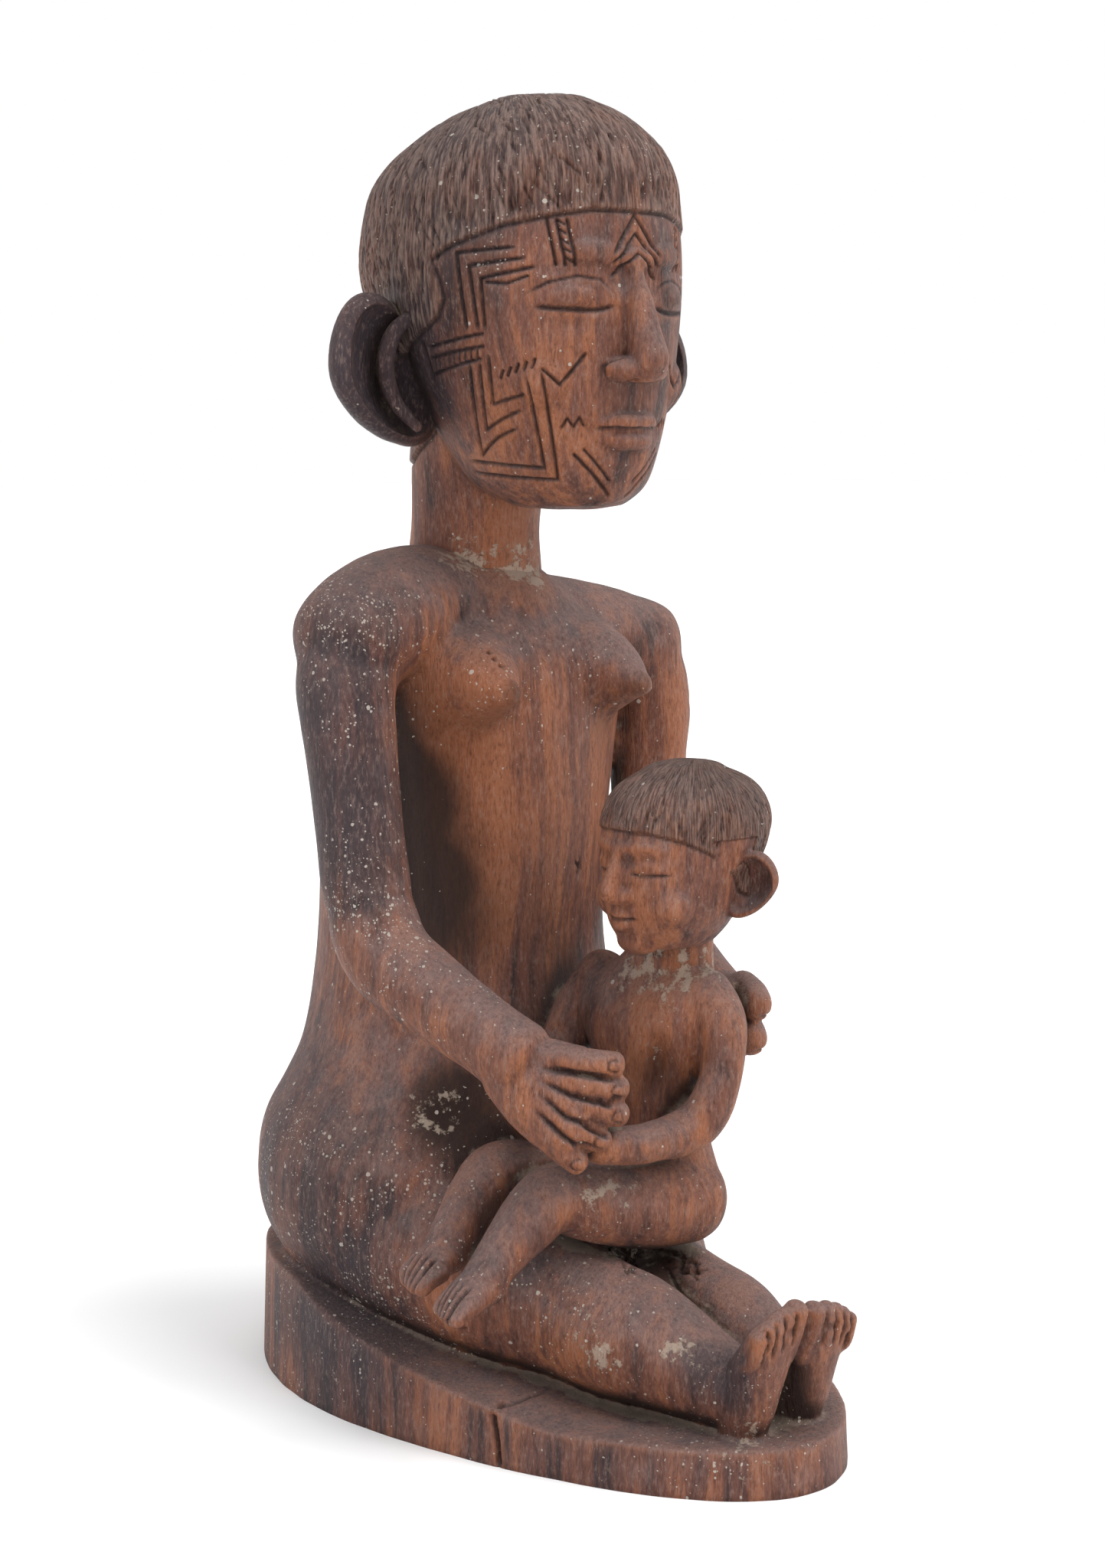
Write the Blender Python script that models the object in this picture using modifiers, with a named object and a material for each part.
"""A seated mother with a child on her lap, carved with its plinth from one block of hardwood.

The whole carving is one solid. The mother looks along -Y, the child sits across her lap and
looks along -X, and the plinth's flat underside lies on the ground at z = 0. Metres, +Z up.
"""
import math

import bmesh
import bpy
from mathutils import Matrix, Vector

# Driving sizes, in metres.
FIGURE_HEIGHT = 0.434       # crown of the mother's head above the front of the plinth
PLINTH_LENGTH = 0.262       # toes to back
PLINTH_WIDTH = 0.160        # across its widest place, beside the mother's lap
PLINTH_FRONT = 0.016        # thickness under the feet
PLINTH_BACK = 0.042         # thickness behind the hips
PLINTH_FLARE = 0.001        # how much wider the foot of the plinth is than its rim, each side
BELOW_GROUND = 0.006        # how far the plinth starts below the ground, before it is cut flat

# The figures are drawn on a carver's grid: this many steps from the plinth's front to the crown.
GRID_STEPS = 434
STEP = FIGURE_HEIGHT / GRID_STEPS
TOES_FROM_FRONT = 0.003     # bare wood left on the plinth in front of the toes
SET_ASIDE = 0.002           # how far the figures stand to one side of the plinth's middle
TOES_ON_GRID = 131          # how far forward the toes reach on the grid

# Grain of the working surfaces, and the size of the finished mesh.
BODY_VOXEL = 1.9 * STEP
HEAD_VOXEL = 1.2 * STEP
BLOCK_VOXEL = 1.15 * STEP
TRIANGLES = 9600

WOOD_COLOUR = (0.165, 0.075, 0.042, 1.0)
WOOD_ROUGHNESS = 0.55

PLINTH_WIDEST = 0.405       # where the plinth is widest, as a share of its length from the back
NOSE_POWER = 1.5            # how sharply the plinth's front narrows; 2 is an ellipse
MIDDLE_Y = PLINTH_LENGTH * (0.5 - PLINTH_WIDEST)
FRONT_RUN = PLINTH_LENGTH * (1.0 - PLINTH_WIDEST)
BACK_RUN = PLINTH_LENGTH * PLINTH_WIDEST
RISE_FRONT = -0.29 * PLINTH_LENGTH  # where the plinth's top starts to rise
RISE_BACK = 0.20 * PLINTH_LENGTH    # where it reaches its full thickness
RISE_POWER = 1.45           # how late the rise comes; 1 is a straight slope


def clear_scene():
    """Removes the objects that are there at the start."""
    for obj in list(bpy.data.objects):
        bpy.data.objects.remove(obj, do_unlink=True)


def grid(x, y, z):
    """A place on the figures' grid: across, back and up, in steps; 16 up is the plinth's front."""
    toes = -PLINTH_LENGTH / 2 + TOES_FROM_FRONT
    return Vector((
        SET_ASIDE + x * STEP, toes + (y + TOES_ON_GRID) * STEP, PLINTH_FRONT + (z - 16) * STEP))


# Modelling tools
def new_object(name, mesh):
    """An object for a mesh, in the scene's own collection."""
    obj = bpy.data.objects.new(name, mesh)
    bpy.context.scene.collection.objects.link(obj)
    return obj


def baked(obj):
    """The object with its modifiers made part of its mesh."""
    graph = bpy.context.evaluated_depsgraph_get()
    mesh = bpy.data.meshes.new_from_object(obj.evaluated_get(graph))
    obj.modifiers.clear()
    obj.data = mesh
    return obj


def through_points(rows, parts):
    """The rows of numbers joined by a smooth curve, with this many parts between two of them."""
    smooth = []
    for i in range(len(rows) - 1):
        before = rows[max(i - 1, 0)]
        start, end = rows[i], rows[i + 1]
        after = rows[min(i + 2, len(rows) - 1)]
        for k in range(parts):
            t = k / parts
            smooth.append([
                0.5 * (2 * b + (c - a) * t + (2 * a - 5 * b + 4 * c - d) * t ** 2
                       + (3 * b - a - 3 * c + d) * t ** 3)
                for a, b, c, d in zip(before, start, end, after)
            ])
    smooth.append(list(rows[-1]))
    return smooth


def limb(name, stations, front=(0, -1, 0), sides=28, parts=5, dome=0.8, level=False):
    """A tapered limb. Each station is x, y, z, half its width and half its depth, on the grid.

    Depth is measured along front, width across it, and both ends are rounded off. Stations lie
    square to the limb, or flat when it is level.
    """
    rows = through_points(stations, parts)
    places = [grid(*row[:3]) for row in rows]
    rings = []
    for i, row in enumerate(rows):
        along = (places[min(i + 1, len(rows) - 1)] - places[max(i - 1, 0)]).normalized()
        if level:
            along = Vector((0, 0, 1))
        forward = Vector(front)
        forward = (forward - along * forward.dot(along)).normalized()
        rings.append((places[i], along, along.cross(forward), forward, row[3] * STEP, row[4] * STEP))
    ends = (rings[0], -1), (rings[-1], 1)
    caps = []
    for (place, along, side, forward, wide, deep), way in ends:
        reach = dome * min(wide, deep)
        caps.append([
            (place + along * way * reach * math.sin(a), along, side, forward,
             wide * math.cos(a), deep * math.cos(a))
            for a in (math.radians(25), math.radians(50), math.radians(72))
        ])
    rings = caps[0][::-1] + rings + caps[1]
    work = bmesh.new()
    loops = []
    for place, _, side, forward, wide, deep in rings:
        turn = [2 * math.pi * k / sides for k in range(sides)]
        loops.append([
            work.verts.new(place + side * wide * math.cos(a) + forward * deep * math.sin(a))
            for a in turn
        ])
    for low, high in zip(loops, loops[1:]):
        for k in range(sides):
            work.faces.new((low[k], low[(k + 1) % sides], high[(k + 1) % sides], high[k]))
    work.faces.new(loops[0][::-1])
    work.faces.new(loops[-1])
    bmesh.ops.recalc_face_normals(work, faces=work.faces)
    mesh = bpy.data.meshes.new(name)
    work.to_mesh(mesh)
    work.free()
    return new_object(name, mesh)


def ball(name, centre, radii, turn=(0, 0, 0)):
    """An egg-shaped mass: centre and radii on the grid, turned by degrees about X, Y and Z."""
    bpy.ops.mesh.primitive_uv_sphere_add(
        segments=32, ring_count=20, radius=1.0, location=grid(*centre),
        rotation=[math.radians(a) for a in turn],
    )
    obj = bpy.context.object
    obj.name = name
    obj.scale = [r * STEP for r in radii]
    bpy.ops.object.transform_apply(location=False, rotation=False, scale=True)
    return obj


def merged(name, pieces, voxel, soften):
    """The pieces grown into one skin of this voxel size, with its creases softened."""
    bpy.ops.object.select_all(action="DESELECT")
    for piece in pieces:
        piece.select_set(True)
    bpy.context.view_layer.objects.active = pieces[0]
    if len(pieces) > 1:
        bpy.ops.object.join()
    skin = pieces[0]
    skin.name = name
    bpy.ops.object.transform_apply(location=True, rotation=True, scale=True)
    remesh = skin.modifiers.new("One skin", "REMESH")
    remesh.mode = "VOXEL"
    remesh.voxel_size = voxel
    remesh.adaptivity = 0.0
    if soften:
        smooth = skin.modifiers.new("Soft creases", "SMOOTH")
        smooth.factor = 0.5
        smooth.iterations = soften
    return baked(skin)


# The plinth
def half_width(y):
    """Half the plinth's width this far back."""
    if y < MIDDLE_Y:
        share = min((MIDDLE_Y - y) / FRONT_RUN, 1.0)
        return PLINTH_WIDTH / 2 * math.sqrt(max(1.0 - share ** NOSE_POWER, 0.0))
    share = min((y - MIDDLE_Y) / BACK_RUN, 1.0)
    return PLINTH_WIDTH / 2 * math.sqrt(max(1.0 - share ** 2, 0.0))


def top_height(y):
    """Height of the plinth's top: level under the legs, rising to the hips."""
    run = RISE_BACK - RISE_FRONT
    share = min(max((y - RISE_FRONT) / run, 0.0), 1.0)
    return PLINTH_FRONT + (PLINTH_BACK - PLINTH_FRONT) * share ** RISE_POWER


def plinth():
    """The egg-shaped plinth, thick at the back and thin under the feet."""
    around = 96
    work = bmesh.new()
    rings = {"foot": [], "rim": []}
    for k in range(around):
        angle = 2 * math.pi * k / around
        y = MIDDLE_Y - math.cos(angle) * (FRONT_RUN if math.cos(angle) > 0 else BACK_RUN)
        x = math.copysign(half_width(y), math.sin(angle)) if k % (around // 2) else 0.0
        inward = 1.0 - PLINTH_FLARE / (PLINTH_WIDTH / 2)
        rings["foot"].append(work.verts.new((x, y, -BELOW_GROUND)))
        rings["rim"].append(work.verts.new((x * inward, y * inward, top_height(y))))
    foot, rim = rings["foot"], rings["rim"]
    for k in range(around):
        n = (k + 1) % around
        work.faces.new((foot[k], foot[n], rim[n], rim[k]))
    for k in range(around // 2):
        a, b = k, k + 1
        c, d = (around - k - 1), (around - k) % around
        for ring in (rim, foot):
            corners = [ring[a], ring[b], ring[c], ring[d]]
            corners = [v for i, v in enumerate(corners) if v not in corners[:i]]
            if len(corners) > 2:
                work.faces.new(corners)
    bmesh.ops.recalc_face_normals(work, faces=work.faces)
    mesh = bpy.data.meshes.new("plinth")
    work.to_mesh(mesh)
    work.free()
    return new_object("plinth", mesh)


# The mother
def mother_trunk():
    """Torso from the hips to the neck, with the shoulders and breasts."""
    pieces = [limb("torso", [
        (0, 45, 26, 62, 58), (0, 45, 40, 70, 64), (0, 45, 54, 78, 70), (0, 46, 68, 81, 72),
        (0, 47, 82, 80, 71), (0, 48, 94, 76, 67), (0, 48, 105, 69, 63), (0, 49, 117, 62, 58),
        (0, 51, 132, 57, 54), (0, 52, 155, 53, 51), (0, 51, 185, 52, 51), (0, 50, 215, 55, 52),
        (0, 47, 240, 58, 49), (0, 44, 258, 56, 43), (-1, 43, 272, 48, 36), (-1, 42, 283, 38, 31),
        (-1, 42, 291, 28, 26),
    ], dome=0.2, level=True)]
    pieces.append(limb("shoulders", [
        (-71, 24, 265, 20, 19), (-54, 30, 271, 22, 23), (-24, 39, 275, 23, 25), (14, 41, 269, 22, 25),
        (48, 36, 262, 21, 22), (70, 29, 255, 19, 17),
    ], dome=0.7))
    pieces.append(limb("neck", [(-1, 42, 275, 27, 27), (-1, 42, 290, 24, 24), (-1, 42, 305, 23, 23),
                                (-1, 38, 330, 24, 25), (-1, 30, 352, 24, 25)], dome=0.3, level=True))
    for side in (-1, 1):
        pieces.append(limb("breast", [
            (side * 24, 18, 256, 23, 22), (side * 26, 7, 254, 17, 16), (side * 28, -2, 251, 11, 11),
            (side * 28, -9, 249, 7, 7), (side * 28, -15, 248, 4.5, 4.5),
        ], front=(0, 0, 1), dome=0.5))
    return pieces


def mother_arms():
    """The arms, hanging clear of the torso and bent forward to the child."""
    right = limb("right arm", [
        (-66, 26, 262, 16, 18), (-72, 22, 250, 17, 17), (-73, 18, 232, 15.5, 15.5),
        (-72, 15, 205, 15, 15), (-71, 11, 180, 15.5, 15.5), (-70, 2, 162, 15, 15.5),
        (-67, -20, 151, 13.5, 14), (-62, -43, 140, 12, 13), (-58, -54, 134, 11.5, 13.5),
    ], front=(0, 0.3, 1), dome=0.5)
    left = limb("left arm", [
        (66, 31, 252, 17, 17), (70, 27, 238, 15.5, 15.5), (68, 26, 218, 14, 14.5),
        (66, 23, 196, 14, 14), (62, 17, 175, 14, 14.5), (56, 5, 160, 13.5, 14),
        (48, -14, 150, 12, 13), (43, -34, 142, 11, 12), (39, -48, 137, 10, 12),
    ], front=(0, 0.3, 1), dome=0.5)
    return [right, left]


def mother_right_hand():
    """The near hand, laid over the child's wrist and belly."""
    pieces = [limb("right palm", [
        (-59, -51, 134, 7.5, 12), (-54, -60, 128, 8, 17), (-48, -68, 123, 8, 20), (-44, -72, 121, 7, 19),
    ], front=(0, 0.35, 1), dome=0.5)]
    fingers = [
        (-50, -64, 137, -37, -77, 134), (-50, -66, 128, -36, -78, 123), (-50, -67, 119, -37, -77, 113),
        (-51, -66, 112, -44, -74, 107), (-53, -62, 107, -47, -72, 102),
    ]
    for x, y, z, tip_x, tip_y, tip_z in fingers:
        pieces.append(limb("right finger", [
            (x, y, z, 5, 5.2), ((x + tip_x) / 2, (y + tip_y) / 2 - 1.5, (z + tip_z) / 2, 5, 5.2),
            (tip_x, tip_y, tip_z, 4.5, 4.8),
        ], front=(0, 0.35, 1), sides=16))
    return pieces


def mother_left_hand():
    """The far hand, round the child's back with its finger ends stacked."""
    pieces = [limb("left palm", [
        (41, -46, 138, 10, 12), (37, -54, 137, 9, 14), (32, -58, 136, 8, 14),
    ], front=(0, 0.35, 1), dome=0.5)]
    for x, y, z in ((30, -66, 145), (29, -65, 133), (24, -60, 121)):
        pieces.append(limb("left finger", [
            (x + 5, y + 12, z, 6.5, 6.5), (x + 1, y + 3, z, 6.5, 6.5), (x - 4, y - 3, z - 1, 6, 6),
        ], front=(0, 0, 1), sides=16))
    return pieces


def mother_legs():
    """The legs stretched side by side along the plinth: thigh, raised knee, shin and ankle."""
    right = limb("right leg", [
        (-38, 45, 58, 38, 39), (-39, 12, 55, 33, 35), (-35, -20, 49, 28, 29), (-28, -42, 44, 23, 25),
        (-25, -62, 40, 21, 23), (-20, -80, 36, 18, 20), (-15.5, -96, 31, 14.5, 15.5),
        (-12.5, -108, 28, 12, 13),
    ], front=(0, 0, 1), dome=0.5)
    left = limb("left leg", [
        (38, 45, 56, 38, 38), (34, 12, 52, 33, 33), (25, -20, 45, 26, 27), (17, -40, 41, 22, 25),
        (14, -62, 37, 19, 22), (12.5, -80, 35, 17, 20), (11.5, -96, 31, 14, 15.5), (11.5, -108, 28, 12, 13),
    ], front=(0, 0, 1), dome=0.5)
    return [right, left]


def mother_foot(side, drop):
    """A foot standing on its heel, with its sole to the front and its toes up."""
    return [limb("foot", [
        (side * 11 - 1, -110, 17, 9.5, 9), (side * 11.5 - 1, -112, 27, 10.5, 11),
        (side * 11.5 - 1, -117, 38, 10.5, 9), (side * 11.5 - 1, -122, 49 - drop, 10.5, 7),
        (side * 11.5 - 1, -126, 56 - drop, 10.5, 5.5),
    ], dome=0.4)]


def lap_web():
    """The wood left between the legs, falling towards the ankles."""
    return [limb("web", [
        (-4, -20, 46, 22, 26), (-5, -48, 36, 14, 22), (-4, -70, 27, 12, 17), (-2, -92, 24, 9, 13),
        (-1, -106, 22, 6, 9),
    ], front=(0, 0, 1))]


def mother_head():
    """The mother's skull and jaw."""
    return [limb("head", [
        (0, -7, 312, 20, 23), (0, -4, 318, 28, 32), (0, 0, 331, 34, 40), (0, 6, 350, 41.5, 48.5),
        (0, 13, 370, 48, 56.5), (0, 17, 390, 51.5, 60.5), (0, 17, 409, 50, 59), (0, 15, 420, 48, 56.5),
        (0, 11.5, 430, 41.5, 49), (0, 9, 440, 29.5, 35), (0, 7, 445, 18, 22),
    ], dome=0.15, level=True)]


def mother_face():
    """Brow, eyelids, nose, lips and chin, laid on the front of the head."""
    pieces = [
        limb("brow", [(-31, -26, 391, 5, 5), (-17, -37, 394, 6, 5), (0, -41, 395, 6, 5),
                      (17, -37, 394, 6, 5), (31, -26, 391, 5, 5)], front=(0, -1, 0.2), sides=16),
        limb("nose", [(0, -39, 390, 6, 5), (0, -44, 374, 6, 6), (0, -47, 362, 7, 8),
                      (0, -48, 356, 8, 7)], sides=16),
        limb("nostrils", [(-8, -42, 355, 5, 5), (0, -46, 356, 6, 7), (8, -42, 355, 5, 5)], sides=16),
        limb("upper lip", [(-14, -33, 337, 2.5, 3), (-5, -40, 340, 4, 4), (5, -40, 340, 4, 4),
                           (14, -33, 337, 2.5, 3)], front=(0, 0, 1), sides=16),
        limb("lower lip", [(-13, -32, 334, 2.5, 3), (-4, -38, 331, 4.5, 4), (4, -38, 331, 4.5, 4),
                           (13, -32, 334, 2.5, 3)], front=(0, 0, 1), sides=16),
        ball("chin", (0, -25, 320), (15, 11, 9)),
    ]
    for side in (-1, 1):
        pieces.append(limb("eyelid", [
            (side * 9, -36, 377, 3, 3), (side * 16, -36, 379, 6, 6), (side * 23, -32, 379, 6.5, 6),
            (side * 31, -24, 376, 3.5, 3),
        ], front=(0, 0, 1), sides=16))
    return pieces


def ear(name, centre, radii, turn, hollow):
    """A cupped ear: an egg-shaped mass with its front hollowed out."""
    shell = ball(name, centre, radii, turn)
    facing = Matrix.Rotation(math.radians(turn[2]), 3, "Z") @ Vector((0, -1, 0))
    middle = Vector(centre) + facing * hollow
    cutter = ball(name + " hollow", middle, [r * share for r, share in zip(radii, (0.78, 1.0, 0.8))], turn)
    cut = shell.modifiers.new("Hollow", "BOOLEAN")
    cut.object = cutter
    cut.solver = "EXACT"
    baked(shell)
    bpy.data.objects.remove(cutter, do_unlink=True)
    return shell


def mother_ears():
    """The mother's large ears, standing out from her head."""
    return [
        ear("right ear", (-58, 23, 354), (21, 9, 28), (0, -14, 14), 6.0),
        ear("left ear", (58, 23, 354), (21, 9, 28), (0, 14, -14), 6.0),
    ]


# The child
def child_body():
    """The child's trunk and arms."""
    return [
        limb("child trunk", [
            (10, -50, 80, 24, 19), (8, -49, 96, 21, 17), (6, -48, 108, 20, 16), (5, -47, 122, 23, 17),
            (5, -45, 138, 30, 18), (7, -45, 149, 30, 16), (9, -48, 157, 20, 13), (10, -50, 166, 12, 11),
        ], front=(-1, 0, 0), dome=0.5, level=True),
        limb("child near arm", [
            (9, -68, 150, 9, 10), (9, -75, 142, 8.5, 9), (6, -77, 126, 8, 8), (2, -75, 112, 8, 8.5),
            (-6, -74, 107, 8, 8), (-24, -73, 106, 7, 7), (-38, -69, 107, 6.5, 6.5),
        ], front=(-1, 0, 0)),
        limb("child far arm", [
            (8, -20, 150, 9, 10), (2, -14, 138, 9, 10), (-8, -14, 122, 9, 9), (-22, -24, 113, 8, 8),
            (-38, -40, 112, 7, 7),
        ], front=(-1, 0, 0)),
    ]


def child_legs():
    """The child's seat and its legs, hanging over the mother's thigh."""
    return [
        ball("child seat", (8, -53, 82), (17, 21, 17)),
        limb("child near leg", [
            (11, -62, 79, 15, 16), (-12, -60, 80, 14.5, 15.5), (-30, -55, 83, 13, 13.5),
            (-43, -52, 86, 11.5, 11.5), (-54, -51, 79, 10.5, 10), (-64, -51, 71, 8.5, 8.5),
            (-72, -51, 64, 7.5, 7),
        ], front=(0, 0, 1)),
        limb("child far leg", [
            (4, -36, 80, 13, 14), (-26, -28, 84, 12, 12.5), (-43, -23, 88, 11, 11), (-54, -24, 81, 10, 10),
            (-62, -26, 75, 8.5, 8.5), (-69, -27, 68, 7.5, 7),
        ], front=(0, 0, 1)),
        limb("child near foot", [(-70, -52, 63, 7, 7.5), (-79, -51, 60, 9, 6), (-87, -49, 56, 10, 4)],
             front=(0, 0, 1)),
        limb("child far foot", [(-67, -28, 67, 7, 7.5), (-76, -28, 64, 9, 6), (-84, -28, 60, 10, 4)],
             front=(0, 0, 1)),
    ]


def child_head():
    """The child's skull, jaw and neck."""
    return [
        limb("child head", [
            (-2, -62, 170, 15, 18), (-1, -62, 176, 19, 22), (1, -62, 188, 22.5, 26),
            (4, -62, 200, 24, 29), (4, -62, 210, 23.5, 29), (4, -62, 218, 19, 24), (3, -62, 224, 10, 13),
        ], front=(-1, 0, 0), dome=0.25, level=True),
        limb("child neck", [(10, -52, 152, 15, 14), (9, -55, 164, 12, 12), (7, -58, 180, 12, 12)],
             front=(-1, 0, 0)),
        limb("child nose", [(-25, -62, 196, 3, 3), (-28, -62, 188, 3.5, 4), (-28, -62, 186, 5, 4)],
             front=(-1, 0, 0), sides=16),
        limb("child lips", [(-21, -69, 178, 2, 2), (-25, -62, 178, 4, 3.5), (-21, -55, 178, 2, 2)],
             front=(0, 0, 1), sides=16),
    ] + [
        limb("child eyelid", [
            (-22, -62 + side * 5, 195, 1.5, 1.5), (-20, -62 + side * 10, 196.5, 3.5, 3),
            (-13, -62 + side * 17, 195, 2, 1.5),
        ], front=(0, 0, 1), sides=16)
        for side in (-1, 1)
    ]


def child_ears():
    """The child's ears."""
    return [
        ear("child right ear", (12, -88, 191), (9.5, 4.5, 12), (0, 0, -62), 3.0),
        ear("child left ear", (12, -36, 191), (9.5, 4.5, 12), (0, 0, -118), 3.0),
    ]


def carving():
    """The whole carving as one closed skin."""
    body = mother_trunk() + mother_arms() + mother_legs() + lap_web()
    body = merged("mother", body, BODY_VOXEL, 8)
    head = merged("mother head", mother_head(), HEAD_VOXEL, 6)
    masses = mother_right_hand() + mother_left_hand() + mother_foot(-1, 0) + mother_foot(1, 3)
    masses += mother_face() + mother_ears() + child_ears()
    child = merged("child", child_body() + child_legs() + child_head(), HEAD_VOXEL, 5)
    masses += [body, head, child, plinth()]
    return merged("mother_and_child_carving", masses, BLOCK_VOXEL, 3)


def thinned(block):
    """The skin with fewer triangles, and its underside cut flat on the ground."""
    triangles = sum(len(face.vertices) - 2 for face in block.data.polygons)
    fewer = block.modifiers.new("Fewer faces", "DECIMATE")
    fewer.ratio = TRIANGLES / triangles
    baked(block)
    work = bmesh.new()
    work.from_mesh(block.data)
    cut = bmesh.ops.bisect_plane(
        work, geom=work.verts[:] + work.edges[:] + work.faces[:], dist=1e-6,
        plane_co=(0, 0, 0), plane_no=(0, 0, 1), clear_inner=True,
    )
    edges = [item for item in cut["geom_cut"] if isinstance(item, bmesh.types.BMEdge)]
    bmesh.ops.contextual_create(work, geom=edges)
    bmesh.ops.triangulate(work, faces=work.faces[:])
    bmesh.ops.recalc_face_normals(work, faces=work.faces)
    work.to_mesh(block.data)
    work.free()
    return block


def wood():
    """Dark reddish hardwood."""
    material = bpy.data.materials.new("hardwood")
    material.use_nodes = True
    shader = material.node_tree.nodes["Principled BSDF"]
    shader.inputs["Base Color"].default_value = WOOD_COLOUR
    shader.inputs["Roughness"].default_value = WOOD_ROUGHNESS
    shader.inputs["Metallic"].default_value = 0.0
    return material


def main():
    """Builds the carving."""
    clear_scene()
    block = thinned(carving())
    block.data.materials.clear()
    block.data.materials.append(wood())
    block.data.shade_smooth()
    block.data.set_sharp_from_angle(angle=math.radians(50))
    home = bpy.data.collections.new("mother and child")
    bpy.context.scene.collection.children.link(home)
    bpy.context.scene.collection.objects.unlink(block)
    home.objects.link(block)


main()
